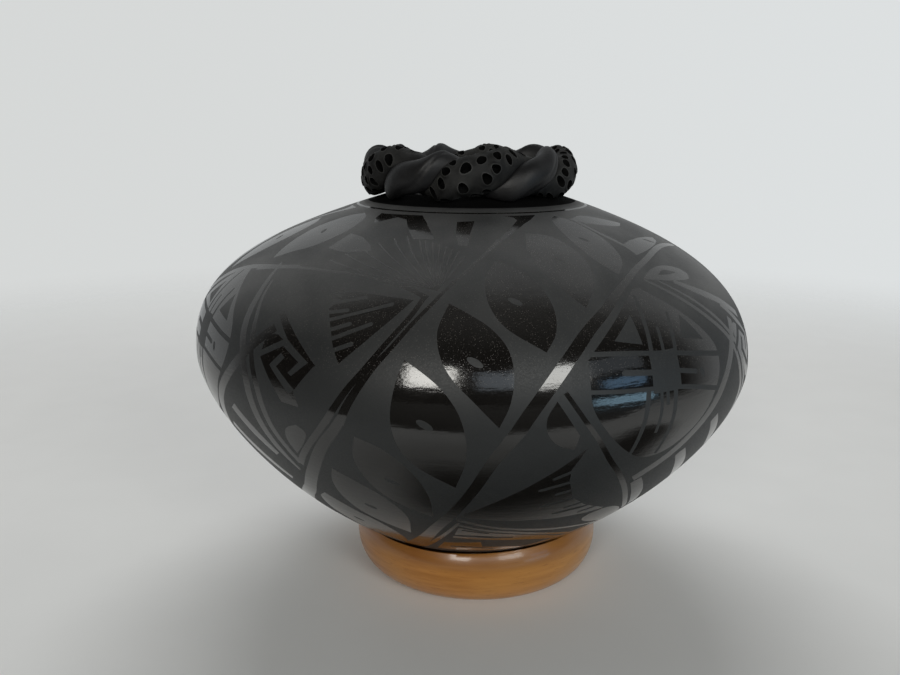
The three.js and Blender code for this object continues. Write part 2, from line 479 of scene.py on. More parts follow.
def frames(eyed):
    """Bands that part the panels, and run from the neck to under the jar."""
    if eyed:
        own = [
            band([(56, 33), (49, 31.5), (37.8, 29), (28.7, 25), (21, 19), (16.7, 13.5), (13, 8), (9.5, 2),
                  (7.2, -2.8)], 1.3, 1.5, 1.7, 2.0, 2.3, 2.8, 2.8, 2.9),
            band([(-58, 31), (-53, 25.5), (-47, 18), (-41, 10), (-37.8, 0), (-36.2, -9), (-35, -15),
                  (-34, -18.8)], 0.8, 1.2, 1.4, 1.6, 1.8, 1.6),
            band([(-54, 30), (-48, 23), (-42.5, 15.5), (-38, 8), (-35, 0), (-33.9, -6), (-33.3, -10.5)],
                  0.6, 1.0, 1.2, 1.4, 1.4, 0.8),
            band([(-49, 29), (-43, 24.5), (-36, 20), (-28, 14.5)], 1.4, 2.4, 2.4, 2.0),
        ]
    else:
        own = [
            band([(84, 37.5), (75, 39.5), (66, 40.2), (58, 39.5), (50, 37.5), (42, 34.8), (35, 30.9),
                  (30, 27.3), (25.5, 23.2), (21, 19), (16.7, 13.5), (13, 8), (9.5, 2), (7.2, -2.8)],
                  1.0, 1.5, 1.6, 1.5, 1.5, 1.8, 2.3, 2.8, 2.8, 2.9),
            band([(-8.3, 27.4), (-12, 29.7), (-15, 30.8), (-20, 32.2), (-27, 33.2), (-36, 33.2),
                  (-45, 32.3), (-58, 29)], 1.3, 1.0, 0.8, 0.8, 1.0, 1.2),
            band([(-50.5, 33), (-49.2, 29.5), (-47, 22), (-45.4, 14), (-43.6, 8), (-41.4, 0), (-39.9, -9),
                  (-38.4, -15.3), (-36, -22.2)],
                 0.8, 1.4, 1.9, 2.1, 2.1, 2.1, 2.2, 2.2, 1.0),
            band([(-46.6, 27), (-44.8, 21), (-43, 16), (-40.7, 7), (-38.4, -0.5), (-36.9, -9),
                  (-35.3, -14.5), (-34, -18.8)], 0.6, 1.0, 1.4, 1.5, 1.6, 1.7, 1.7),
        ]
    return own + [
        band([(-21.4, -3), (-19.6, 2), (-16, 9.6), (-13, 14.8), (-10, 20.7), (-7, 26.2), (-5, 30),
              (0, 38), (8, 49)], 1.9, 1.5, 1.0, 0.9, 0.9, 1.0, 1.3),
        band([(-24, -3.2), (-20, 4.6), (-17, 9.8), (-13, 17.6), (-10.6, 22.6), (-8.9, 27.6)],
             1.5, 1.3, 1.1, 1.1, 1.2),
        band([(-20.8, -1.4), (-22.7, -5), (-25.9, -10), (-31.4, -20), (-37.8, -30), (-42.4, -35),
              (-52, -44), (-63, -54), (-76, -64)],
             1.9, 2.7, 3.3, 3.9, 4.6, 5.0, 5.0),
        band([(7.2, -2.6), (3.8, -10), (0.6, -20), (-3.2, -30), (-8, -40), (-12.9, -50), (-18.5, -58),
              (-27, -67), (-37, -76)], 2.9, 2.5, 2.5, 2.9, 3.6, 5.0, 5.4, 5.2, 5),
        band([(-2.2, -35.6), (-5, -42), (-8.4, -48.5), (-13, -56), (-19, -63.5), (-27, -72)],
             0.8, 1.4, 1.9, 2.0, 1.8),
        band([(62, 15.5), (56, 8), (50, 0), (45, -7), (40, -13.8), (33.4, -20.6)],
             2.2, 2.3, 2.4, 2.6, 2.9),
        band([(-23.2, -1.6), (-25.3, -5.2), (-28.5, -10), (-31.8, -15), (-34.2, -19)],
             1.4, 1.4, 1.4, 1.5, 1.7),
    ]


def fan_and_wedge():
    """Fan of fine rays over a toothed wedge."""
    rays = [band([FAN_APEX, tip], 0.15, 0.45) for tip in FAN_TIPS]
    wedge = straight([(-10.8, 26.7), (-20, 27.5), (-26, 27.6), (-29.2, 26), (-25.6, 25), (-27, 22.2),
                      (-25.8, 19.5), (-24.6, 16.6), (-23.4, 13.3), (-21.8, 10), (-18.4, 14.6),
                      (-14.4, 20.6)])
    teeth = [((-30.5, 25), (-26, 26.3)), ((-26.5, 23.9), (-20.5, 26.4)),
             ((-28, 20.9), (-23.1, 22.4)), ((-27, 18.9), (-14.8, 25.1)),
             ((-25.8, 16.7), (-21.6, 19.1)), ((-25, 14.6), (-17.6, 19.6)),
             ((-23.8, 12.4), (-20.2, 14.6))]
    return rays + [wedge], [stroke(*ends) for ends in teeth]


def eyed_leaf():
    """Leaf that lies along the shoulder where the other repeats have their fan."""
    shape = leaf((-58, 31.4), (-39.5, 30), [(-53, 33.7), (-47, 34.4), (-41.5, 32.6)],
                 [(-52, 29.8), (-46, 28.8), (-41.5, 28.4)])
    return [shape], [leaf((-52, 31.8), (-44, 31.2), [(-48, 32.9)], [(-48, 31.2)])]


def fret_and_bud():
    """Stepped fret with a small bud under it."""
    fret = [straight([(-38, 19), (-36.4, 19.6), (-31, 14), (-26.1, 8.8), (-28.4, 7.2), (-33.4, 13.8)]),
            straight([(-38.5, 8.2), (-38.4, 12), (-37.1, 13.9), (-35.6, 14), (-33.5, 12.8), (-26.3, 8.8),
                      (-30.2, 2.4), (-29.1, -0.9), (-32.8, -0.6)])]
    steps = [straight([(-39.6, 7.5), (-33.6, 11.7), (-29.6, 8.9), (-31.6, 6.2), (-30.8, 5.6),
                       (-27.6, 9.2), (-33.4, 13.6), (-40, 8.7)]),
             straight([(-33.7, 10.2), (-36, 7), (-31.2, 1.6), (-29.9, 2.7), (-34.3, 7), (-32.7, 9.3)])]
    bud = leaf((-30.4, -5.6), (-33.2, -15), [(-33.2, -7.4), (-34.1, -11)], [(-28.7, -7.4), (-30.3, -11)])
    return [*fret, bud], steps


def shield():
    """Round panel parted by a cross of paired bars."""
    field = np.concatenate([
        [(20, 12.9)],
        curve([(21.2, 14.6), (25, 18.8), (31, 25), (35.5, 28.8)]),
        curve([(37.5, 28.8), (44, 21), (48, 15.5), (50.2, 11), (50, 5.6), (47.2, -0.5), (43, -7),
               (37.5, -11.8), (32, -12.4), (27, -8.6), (22.6, -3), (19.9, 2.4), (19.5, 8),
               (19.6, 12.6)])])
    matte = [
        straight([(31.4, 4), (31.6, 13), (38.1, 13), (38, 4)]),
        band([(18.8, 13.8), (26, 13.4), (33, 12.6), (40, 11.5), (51, 9.2)], 1.1, 1.1, 1.2),
        band([(18.8, 5.9), (26, 5.4), (33, 5), (40, 4), (49.5, 1.4)], 0.9, 1.0, 1.1),
        band([(34.6, 27), (33.3, 20), (32.3, 13)], 0.9, 1.1),
        band([(35.7, 18.4), (35.1, 13)], 0.8, 0.9),
        band([(40.2, 21.5), (38.9, 17), (37.9, 12)], 0.9, 1.1),
        band([(30.5, 5), (29.8, -2), (28.6, -11)], 1.2, 0.9),
        band([(33.2, 5), (33.3, 0), (32.8, -5.4)], 0.8, 0.8),
        band([(36.6, 5), (36.2, -3), (35, -12)], 1.2, 0.9),
        band([(34.6, 6), (34.7, 1)], 0.9, 0.9),
        straight([(25.3, 16.2), (30.8, 22), (30.9, 14.8)]),
        straight([(40.4, 14.9), (43.2, 20.4), (46.8, 13.4)]),
        stroke((26, 9.2), (31.6, 8.6), 1.3), stroke((38, 8), (42.2, 7), 1.1),
        eye(44.1, 6.4, 1.3, 2.2),
    ]
    return [field], matte


def wing_and_feathers():
    """Wing under the shield, the feather stripes and the long low lines."""
    wing = straight([(19.6, -7), (15, -13), (10, -19), (5, -24.4), (-1, -30.6), (-1.4, -32.4), (8, -34.2),
                     (20, -34.9), (28, -34.5), (32.3, -33.6), (25, -29), (20.5, -24), (18.2, -17),
                     (17.8, -13)])
    cuts = [((18.4, -13.6), (15.2, -15.9)), ((19.4, -17.2), (13.2, -20)),
            ((20.4, -20.4), (16.8, -22.2)), ((21.4, -24.4), (14.8, -27.4)),
            ((24, -27.4), (20.4, -29.2)), ((26.4, -29.6), (18.6, -31.8)),
            ((29.4, -31.2), (25.2, -33))]
    burnished = [
        wing,
        patch([(13.8, 4.4), (12.2, 1), (12.4, -2.6), (14.4, -5.6), (17.4, -7)],
              [(17.8, -3.4), (13.9, 4.2)]),
        band([(15.2, 6.1), (18.6, -0.2), (21.6, -5.4), (24.6, -11), (27.6, -15.6), (31, -21), (38, -32),
              (44.6, -40.4)], 0.9, 1.0, 1.2, 1.4, 1.5, 1.4),
        band([(34.8, -21.8), (39, -28), (46, -38.4)], 3.0, 3.6, 2.6),
        band([(43.6, -14.6), (49.5, -22.5), (55.2, -29.6)], 3.0, 3.8, 2.6),
        band([(50.6, -6.6), (55, -13), (58.6, -18.4)], 2.8, 3.4, 2.4),
        band([(-2.8, -33.9), (4, -37.6), (10, -39.9), (20, -42.6), (30, -44.8), (40, -47.6)],
             1.0, 1.2, 1.3, 1.2, 0.8),
        band([(-2.4, -37.2), (4, -40.4), (10, -42.2), (20, -46), (30, -50.8), (37, -55)],
             1.0, 1.4, 1.3, 1.5, 1.5),
        patch([(-2.4, -39), (5, -42.2), (14, -45), (22, -48.4), (33, -55)],
              [(28, -55), (18, -51), (8, -48.8), (-4.4, -47)]),
        curve([(34, -34.4), (29.4, -36.6), (29.2, -39.6), (32.4, -42.6), (38, -45.4), (45, -48.2),
               (44.6, -43), (40, -37.4)], closed=True),
        straight([(-7.6, -52.4), (3.6, -50.8), (4.6, -56.6), (14, -58), (22, -61.6), (16, -64.4),
                  (-2, -62.6), (-12, -62)]),
        band([(26, -58), (38, -62), (52, -66.5), (64, -70)], 2.2, 2.8, 2.4),
    ]
    matte = [stroke(*ends) for ends in cuts]
    matte += [stroke((-1.4, -40.7), (5, -42.8), 0.9), stroke((-4.6, -44.6), (12, -46.9), 1.1),
              band([(-6, -57), (2, -57.4), (9, -60)], 1.2, 1.0)]
    return burnished, matte


def neck(eyed):
    """Flares, blocks and petals round the foot of the neck, and the rings round the jar."""
    rings = [all_round(*ends) for ends in ((62.8, 63.5), (-73, -67.5), (-81.5, -75.5))]
    flares = [
        straight([(-5.4, 58.2), (1.2, 58.8), (-0.4, 52), (-0.8, 46.5), (-3.6, 46.5), (-4.8, 52)]),
        straight([(13.5, 61.6), (28.5, 61.7), (24.5, 59.4), (19.8, 57), (14.5, 53.2), (7, 47), (11, 52.6),
                  (15.2, 56.4), (18.2, 59), (17.6, 60.6)]),
    ]
    if eyed:
        return rings + flares + [
            leaf((-57, 58), (-28.5, 52.4), [(-47, 59.4), (-37, 56.2)], [(-49, 54.6), (-36, 51.6)]),
            band([(-55, 57.5), (-53, 50), (-51, 45), (-50, 41)], 1.0, 1.8, 1.8, 1.0),
            straight([(-51, 44), (-45, 45.2), (-38, 45.4), (-31, 44.8), (-25, 43.4), (-28, 42), (-38, 41),
                      (-51, 39.4)]),
        ]
    return rings + flares + [
        straight([(-42, 60.8), (-21, 61.2), (-17, 57.5), (-13, 52.4), (-11, 49.2), (-17.5, 48.8),
                  (-22, 54), (-26, 58.4), (-31, 59.4), (-35, 57.2), (-38, 55.4), (-41, 58)]),
        straight([(-41.2, 41.4), (-40.6, 49), (-34.5, 48), (-29, 45), (-27, 42.4), (-34, 40.6)]),
    ]


def painted_shapes(eyed):
    """Every shape of one repeat in painting order, each with the finish it leaves."""
    if eyed:
        shoulder, shoulder_matte = eyed_leaf()
        shoulder_matte.append(eye(-34, 43.2, 4.5, 1.2))
    else:
        shoulder, shoulder_matte = fan_and_wedge()
    fret, fret_matte = fret_and_bud()
    panel, panel_matte = shield()
    wing, wing_matte = wing_and_feathers()
    all_leaves = [WIDE_TOP_LEAF if eyed else TOP_LEAF, *LEAVES]
    leaves = [leaf(*sides) for *sides, _ in all_leaves]
    eyes = [eye(*place) for *_, place in all_leaves]
    burnished = frames(eyed) + shoulder + fret + panel + wing + leaves + neck(eyed)
    matte = shoulder_matte + fret_matte + panel_matte + wing_matte + eyes
    # The last band is painted shade round the foot of the neck, under the collar.
    return [*((shape, BURNISHED) for shape in burnished), *((shape, MATTE) for shape in matte),
            (all_round(SHADE_START, DESIGN_HIGH + 1), PAINTED_SHADE)]


def inside(outline, points):
    """Which points lie inside a closed outline, by counting the sides that cross their row."""
    result = np.zeros(len(points), bool)
    x, y = points.T
    for (ax, ay), (bx, by) in zip(outline, np.roll(outline, -1, axis=0)):
        crosses = (ay > y) != (by > y)
        if crosses.any():
            result ^= crosses & (x < ax + (y - ay) * (bx - ax) / (by - ay + 1e-12))
    return result


def cut_sheet(corner, size, counts, loops, keep_grid=None):
    """Triangles of a flat rectangle, with a grid of points and every loop as edges.
    Returns the points, the triangles, and for each point the loop point it came from, or -1."""
    columns, rows = (np.linspace(corner[i], corner[i] + size[i], counts[i] + 1)
                     for i in (0, 1))
    grid = np.stack(np.meshgrid(columns, rows, indexing="ij"), -1)
    rim = [*grid[:, 0], *grid[-1, 1:], *grid[-2::-1, -1], *grid[0, -2:0:-1]]
    middle = grid[1:-1, 1:-1].reshape(-1, 2)
    if keep_grid is not None:
        middle = middle[keep_grid(middle)]
    points = [*rim, *middle]
    edges = [(i, (i + 1) % len(rim)) for i in range(len(rim))]
    first_loop_point = len(points)
    for loop in loops:
        start = len(points)
        points += list(loop)
        edges += [(start + i, start + (i + 1) % len(loop)) for i in range(len(loop))]
    out, _, faces, sources, _, _ = delaunay_2d_cdt(
        [Vector(point) for point in points], edges, [], 0, 1e-5)
    out = np.array([tuple(point) for point in out])
    faces = np.array([face for face in faces if len(face) == 3])
    origin = np.array([max([s - first_loop_point for s in source], default=-1)
                       for source in sources])
    centres = out[faces].mean(1)
    low, high = np.array(corner), np.array(corner) + size
    within = ((centres > low) & (centres < high)).all(1)
    return out, faces[within], np.maximum(origin, -1)


def add_piece(name, points, faces, body, node, materials, face_materials=None,
              normals=None, sharp_angle=None):
    """Makes a piece from points in mm, puts it under its body and hides the node it replaces."""
    mesh = bpy.data.meshes.new(name)
    mesh.from_pydata((np.asarray(points) * MM).tolist(), [], faces)
    for material in materials:
        mesh.materials.append(material)
    if face_materials is not None:
        mesh.polygons.foreach_set("material_index", face_materials)
    mesh.polygons.foreach_set("use_smooth", [True] * len(mesh.polygons))
    if sharp_angle is not None:
        mesh.set_sharp_from_angle(angle=sharp_angle)
    if normals is not None:
        mesh.normals_split_custom_set_from_vertices(normals.tolist())
    mesh.update()
    piece = add_object(name, mesh)
    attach(piece, body)
    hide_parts(node)
    return piece


def design_sheet(eyed):
    """One repeat of the design as flat triangles, each with its finish. Of one finish, what the
    neighbours reach into it comes first."""
    shapes = [(outline + (REPEAT * k, 0), finish)
              for k, kind in ((-1, not eyed), (1, not eyed), (0, eyed))
              for outline, finish in painted_shapes(kind)]
    shapes.sort(key=lambda shape: shape[1])
    half = REPEAT / 2
    shapes = [(outline, finish) for outline, finish in shapes
              if outline[:, 0].min() < half and outline[:, 0].max() > -half]
    points, faces, _ = cut_sheet((-half, DESIGN_LOW), (REPEAT, DESIGN_HIGH - DESIGN_LOW),
                                 (SHEET_COLUMNS, SHEET_ROWS), [outline for outline, _ in shapes])
    centres = points[faces].mean(1)
    finishes = np.full(len(faces), MATTE)
    for outline, finish in shapes:
        low, high = outline.min(0), outline.max(0)
        hit = np.flatnonzero(((centres > low) & (centres < high)).all(1))
        finishes[hit[inside(outline, centres[hit])]] = finish
    return points, faces, finishes


LIP_END = 243  # degrees, where the round lip meets the inside
LIP_ROWS, INSIDE_ROWS, BOTTOM_ROWS = 9, 56, 8


def make_jar(materials):
    """The jar: the painted outside, the lip, the inside and the bottom, in one closed mesh."""
    sheets = [design_sheet(eyed) for eyed in (False, True)]
    rows, index, faces, face_materials = [], {}, [], []

    def vertex(angle, radius, height, out, up):
        key = (round(angle % 360, 3) % 360, round(radius, 3), round(height, 3))
        if key not in index:
            index[key] = len(rows)
            rows.append((radians(angle), radius, height, out, up))
        return index[key]

    for k in range(-1, REPEATS - 1):
        sheet, triangles, finishes = sheets[k % 2]
        angles = squeezed(sheet[:, 0] + REPEAT * k)
        numbers = [vertex(angle, *row) for angle, row in zip(angles, OUTLINE.at(sheet[:, 1]))]
        for face, finish in zip(triangles, finishes):
            corners = {numbers[i]: None for i in face}
            if len(corners) == 3:
                faces.append(tuple(corners))
                face_materials.append(finish)

    # Lip and inside, from the neck to the middle of the floor
    turns = np.radians(np.linspace(90, LIP_END, LIP_ROWS))
    lip_height = NECK_HEIGHT + (NECK_RADIUS - MOUTH_RADIUS) / 4 - LIP_RADIUS
    lip = [(MOUTH_RADIUS + LIP_RADIUS * (1 + cos(a)), lip_height + LIP_RADIUS * sin(a),
            cos(a), sin(a)) for a in turns]
    lengths = np.linspace(HIGHEST, LOWEST, INSIDE_ROWS)
    hollow = [(r - out * WALL, z - up * WALL, -out, -up)
              for r, z, out, up in OUTLINE.at(lengths)]
    hollow[-1] = (0, BOTTOM_HEIGHT + WALL, 0, 1)
    # Bottom, from the painted part down to its middle
    bottom = [tuple(row) for row in OUTLINE.at(np.linspace(DESIGN_LOW, LOWEST, BOTTOM_ROWS))]
    bottom[-1] = (0, BOTTOM_HEIGHT, 0, -1)
    columns = squeezed(np.linspace(-1.5 * REPEAT, (REPEATS - 1.5) * REPEAT,
                                   SHEET_COLUMNS * REPEATS, endpoint=False))
    neck_end = tuple(OUTLINE.at([HIGHEST])[0])
    for strip, flip in (([neck_end, *lip, *hollow], False), (bottom, True)):
        numbers = [[vertex(angle, *row) for angle in columns] if row[0] > 0
                   else [vertex(0, *row)] * len(columns) for row in strip]
        for low, high in zip(numbers, numbers[1:]):
            for i in range(len(columns)):
                j = (i + 1) % len(columns)
                face = (low[i], low[j], high[j], high[i])
                faces.append(tuple(dict.fromkeys(face[::-1] if flip else face)))
                face_materials.append(RAW)

    angle, radius, height, out, up = np.array(rows).T
    points = np.stack([radius * np.sin(angle), -radius * np.cos(angle), height], 1)
    normals = np.stack([out * np.sin(angle), -out * np.cos(angle), up], 1)
    points, normals = lean(points, normals)
    return add_piece("painted_jar", points, faces, "pot", "vessel", materials,
                     face_materials, normals)


# ---- collar


def keep_clear(distance):
    """Distance from the jar, eased so that it never falls below the clearance."""
    spare = distance - CLEARANCE
    return CLEARANCE + (spare + np.hypot(spare, BLEND)) / 2


def tightness(around):
    """How far an angle round the mouth is from the tight place, in reaches, and how tight the
    twist is there."""
    off = (around - TIGHT_PLACE) / TIGHT_REACH
    return off, np.exp(-off ** 2)


def strand_twist(shape, around):
    """How far a strand's section is turned, at an angle round the mouth."""
    twist = TWIST_START + TWIST_TURNS * around + shape["turn"]
    off, tight = tightness(around)
    return twist - TWIST_PAUSE * np.sin(2 * twist) + TIGHT_TWIST * off * tight


def strand_points(shape, around, section):
    """Points of a strand. Around is the angle round the mouth, and section holds the places
    in the strand's section, as shares of the collar's half width and half height."""
    twist = strand_twist(shape, around)
    across = section[:, 0] * np.cos(twist) - section[:, 1] * np.sin(twist)
    rise = section[:, 0] * np.sin(twist) + section[:, 1] * np.cos(twist)
    pinch = TIGHT_PINCH * tightness(around)[1]
    rise = np.where(rise > 0, rise * (1 - pinch), rise)
    radius = COLLAR_RADIUS + COLLAR_HALF_WIDTH * across
    x = COLLAR_OFFSET + radius * np.sin(around)
    y = -radius * np.cos(around)
    seat = OUTLINE.height_at(np.hypot(x - LEAN_SHIFT, y), True)
    z = seat + keep_clear(COLLAR_HEIGHT + COLLAR_HALF_HEIGHT * rise - seat)
    return np.stack([x, y, z], 1)


def section_place(shape, share, grow):
    """Place in a strand's section: share 0 to 1 runs along its round lobe, and 1 to 1.5 back
    along its flat side. Grow lifts the place off the lobe, as a share of the collar's size."""
    end = acos((shape["flat"] - shape["middle"]) / shape["radius"])
    radius = shape["radius"] + grow
    angle = end * (2 * np.clip(share, 0, 1) - 1)
    round_part = np.stack([shape["middle"] + radius * np.cos(angle), radius * np.sin(angle)], 1)
    corner = shape["radius"] * sin(end)
    back = np.clip((share - 1) * 2, 0, 1)
    flat_part = np.stack([np.full(len(back), shape["flat"]), corner * (1 - 2 * back)], 1)
    return np.where((share > 1)[:, None], flat_part, round_part)


STRAND_LONG = 2 * pi * COLLAR_RADIUS  # mm along the middle of the collar
LOBE_WIDE = 19.0  # mm over a strand's lobe
FLAT_WIDE = LOBE_WIDE / 2
OUTER = 1.15  # how much longer the collar's outside is than its middle
SLANT = 1.15  # mm that a strand climbs in each mm round the collar
STRAND_STEP = 0.8  # mm between the points of a strand

IN_HOLE, ON_RIM = 1, 2
HOLE_RADII, HOLE_MARGIN, SEAM_MARGIN = (0.95, 1.3), 2.4, 2.5
# The middles of two holes are HOLE_GAP mm and HOLE_SHARE of a radius apart, or more
HOLE_GAP, HOLE_SHARE = 2.25, 0.7
HOLE_TRIES, HOLE_POINTS = 9000, 14
# Rings round a hole: size as a share of its radius, and mm that it is lifted off the strand
HOLE_RINGS = [(1.5, 0.0), (1.2, 0.20), (1.03, 0.16), (0.93, -0.9), (0.78, -2.3)]
GRID_KEPT_OFF = 1.8  # radii round a hole that have no points of the grid


def slant_at(shape, along):
    """The strand's climb at a place along it, where it twists faster or slower than on average."""
    around, step = along / COLLAR_RADIUS, 0.01
    turned = strand_twist(shape, around + step) - strand_twist(shape, around - step)
    return SLANT * turned / (2 * step * TWIST_TURNS)


def hole_places(shape, rng):
    """Place along and over the strand, radius and slant of each hole. They are scattered over
    the strand's lobe without touching."""
    places = []
    for _ in range(HOLE_TRIES):
        along = rng.uniform(-0.5, 0.5) * (STRAND_LONG - 2 * SEAM_MARGIN)
        over = rng.uniform(HOLE_MARGIN, LOBE_WIDE - HOLE_MARGIN)
        radius = rng.uniform(*HOLE_RADII)
        slant = slant_at(shape, along)
        for other_along, other_over, other_radius, _ in places:
            across = (along - other_along) * OUTER
            apart = hypot(across, over - other_over + slant * across)
            if apart < HOLE_GAP + HOLE_SHARE * other_radius:
                break
        else:
            places.append((along, over, radius, slant))
    return places


def hole_loops(places, rng):
    """Rings round each hole and how far each of their points is lifted off the strand."""
    loops, lifts = [], []
    for along, over, radius, slant in places:
        waves = [rng.uniform(0, 2 * pi) for _ in range(3)]
        turns = np.linspace(0, 2 * pi, HOLE_POINTS, endpoint=False)
        wobble = 1 + 0.10 * np.sin(2 * turns + waves[0]) + 0.06 * np.sin(3 * turns + waves[1])
        burr = 1 + 0.6 * np.sin(turns + waves[2])
        for scale, lift in HOLE_RINGS:
            size = radius * wobble * scale
            across, rise = size * np.cos(turns), size * np.sin(turns)
            loops.append(np.stack([along + across / OUTER, over + rise - slant * across], 1))
            lifts += list(lift * burr if lift > 0 else np.full(len(turns), lift))
    return loops, lifts


def make_strand(name, shape, node, materials, holes=False):
    """A strand of the collar as one closed mesh, from a flat sheet that is rolled up."""
    size = (STRAND_LONG, LOBE_WIDE + FLAT_WIDE)
    counts = [round(side / STRAND_STEP) for side in size]
    loops, lifts, keep = [], [], None
    if holes:
        rng = random.Random(11)
        places = hole_places(shape, rng)
        loops, lifts = hole_loops(places, rng)
        along, over, radius, slant = np.array(places).T

        def keep(points):
            across, rise = (points[:, :1] - along) * OUTER, points[:, 1:] - over
            return (np.hypot(across, rise + slant * across) > radius * GRID_KEPT_OFF).all(1)

    sheet, triangles, origin = cut_sheet((-STRAND_LONG / 2, -FLAT_WIDE / 2), size, counts, loops,
                                         keep)
    lift = np.where(origin >= 0, np.array([*lifts, 0.0])[origin], 0.0)
    lowest = lift[triangles].min(1)
    finishes = np.where(lowest < -0.5, IN_HOLE, np.where(lowest > 0, ON_RIM, 0))
    around = sheet[:, 0] / STRAND_LONG * 2 * pi
    share = (sheet[:, 1] / LOBE_WIDE) % 1.5
    # Handmade waves and the smooth strand's crease, which fade at the lobe's edges
    bumps = 0.05 * np.sin(7 * around + 3 * share) + 0.04 * np.sin(17 * around - 11 * share)
    crease = 0 if holes else -0.35 * np.exp(-((share - 0.36) / 0.045) ** 2)
    edge = np.clip(np.minimum(share, 1 - share) * 8, 0, 1)
    lift = (lift + (bumps + crease) * edge) / COLLAR_HALF_HEIGHT
    points = strand_points(shape, around, section_place(shape, share, lift - 0.03))

    index, numbers, kept = {}, [], []
    for row, point in zip(sheet, points):
        key = (round((row[0] + size[0] / 2) % size[0], 3) % round(size[0], 3),
               round(row[1] % size[1], 3))
        if key not in index:
            index[key] = len(kept)
            kept.append(point)
        numbers.append(index[key])
    faces = np.array(numbers)[triangles]
    whole = [len(set(face)) == 3 for face in faces]
    return add_piece(name, kept, faces[whole].tolist(), "pot", node, materials,
                     finishes[whole], sharp_angle=radians(50))


# ---- ring
RING_POINTS, RING_SIDES = 60, 192


def make_ring(material):
    """Turned ring: a round section with a flat foot and a seat hollowed to fit the jar."""
    foot = asin(RING_MIDDLE / RING_HALF_HEIGHT)
    angles = np.linspace(-foot, pi + foot, RING_POINTS)
    radius = RING_RADIUS + RING_HALF_WIDTH * np.cos(angles)
    height = np.maximum(0, RING_MIDDLE + RING_HALF_HEIGHT * np.sin(angles))
    turns = np.linspace(0, 2 * pi, RING_SIDES, endpoint=False)
    x = RING_OFFSET + radius[None] * np.sin(turns[:, None])
    y = -radius[None] * np.cos(turns[:, None])
    z = np.broadcast_to(height, x.shape).copy()
    ceiling = OUTLINE.height_at(np.hypot(x - LEAN_SHIFT, y), False)
    z = np.where(z > RING_MIDDLE / 2, ceiling - keep_clear(ceiling - z), z)
    points = np.stack([x, y, z], -1).reshape(-1, 3)
    number = np.arange(RING_SIDES * RING_POINTS).reshape(RING_SIDES, RING_POINTS)
    after = np.roll(number, -1, axis=0)
    faces = np.stack([number, after, np.roll(after, -1, axis=1), np.roll(number, -1, axis=1)],
                     -1).reshape(-1, 4).tolist()
    return add_piece("turned_ring", points, faces, "ring", "ring_stand",
                     [material], sharp_angle=radians(40))


# ---- materials (m)
FILM = (0.10, 0.098, 0.094)
WARM_SPECKS, GREY_SPECKS = (0.20, 0.18, 0.16), (0.20, 0.19, 0.175)
# Painted shade: near-black, rough, barely glossy clay for the foot of the neck under the collar and for
# the insides of the holes.
SHADE_CLAY = ((0.002,) * 3, (0.005,) * 3, 0.85, 0.05)


def finish_material(n, bump, strength, distance, colour, rough, **inputs):
    """Adds the shader with its bump: strength from 0 to 1, and distance in metres."""
    normal = n("Bump", Height=bump, Strength=strength, Distance=distance).outputs[0]
    shader = n("BsdfPrincipled", Normal=normal, Base_Color=colour, Roughness=rough, **inputs)
    n("OutputMaterial", Surface=shader.outputs[0])


def off_axis(n, place):
    """Distance from the jar's axis."""
    flat = n("VectorMath", {"operation": "MULTIPLY"}, i0=place, i1=(1, 1, 0)).outputs[0]
    return n("VectorMath", {"operation": "LENGTH"}, i0=flat).outputs["Value"]


def upwards(n, vector):
    """The vector's Z."""
    return n("SeparateXYZ", Vector=vector).outputs[2]


def dust(n, place, collar_shade_reach):
    """Shares of fine specks and of a thin layer of dust, both only on surfaces that look up.
    The layer starts and is whole at two given distances from the axis, so the foot of the neck
    is left darker round the collar: painted shade."""
    up = upwards(n, n("NewGeometry").outputs["Normal"])
    cells = n("TexVoronoi", Vector=place, Scale=2600.0)
    speck = n.ramp(cells.outputs["Distance"], 0.08, 0.32, 1.0, 0.0)
    chosen = n.ramp(n.noise(place, 900.0, 4.0, 0.7), 0.37, 0.60)
    specks = n.times(n.times(speck, chosen), n.ramp(up, 0.10, 0.42))
    patches = n.times(n.ramp(off_axis(n, place), *collar_shade_reach),
                     n.ramp(n.noise(place, 60.0, 3.0), 0.3, 0.7, 0.4, 1.0))
    return specks, n.times(n.ramp(up, 0.40, 0.80), patches)


def burnished_clay():
    """Black mirror with low burnishing marks, where the slip wasn't painted."""
    material, n, place = new_material("burnished_clay")
    strokes = n.noise(n.stretched(place, (60, 60, 900)), 1.0, 4.0)
    pebbled = n.noise(n.stretched(place, (500, 500, 900)), 1.0, 3.0, 0.6)
    marks = n.plus(strokes, pebbled)
    cloud = n.noise(place, 45.0, 3.0)
    # The dust thins out near the neck, leaving painted shade round the collar.
    specks, dust_film_and_shade = dust(n, place, (0.035, 0.047))
    colour = n.mix(cloud, (0.0040, 0.0036, 0.0032), (0.0085, 0.0078, 0.007))
    colour = n.mix(n.times(dust_film_and_shade, 0.17), colour, FILM)
    colour = n.mix(n.times(specks, 0.38), colour, WARM_SPECKS)
    rough = n.plus(n.ramp(cloud, 0.3, 0.7, 0.095, 0.14),
                   n.times(specks, 0.4))
    finish_material(n, marks, 0.14, 0.0002, colour, rough, IOR=1.70,
                    Sheen_Weight=n.times(dust_film_and_shade, 0.10))
    return material


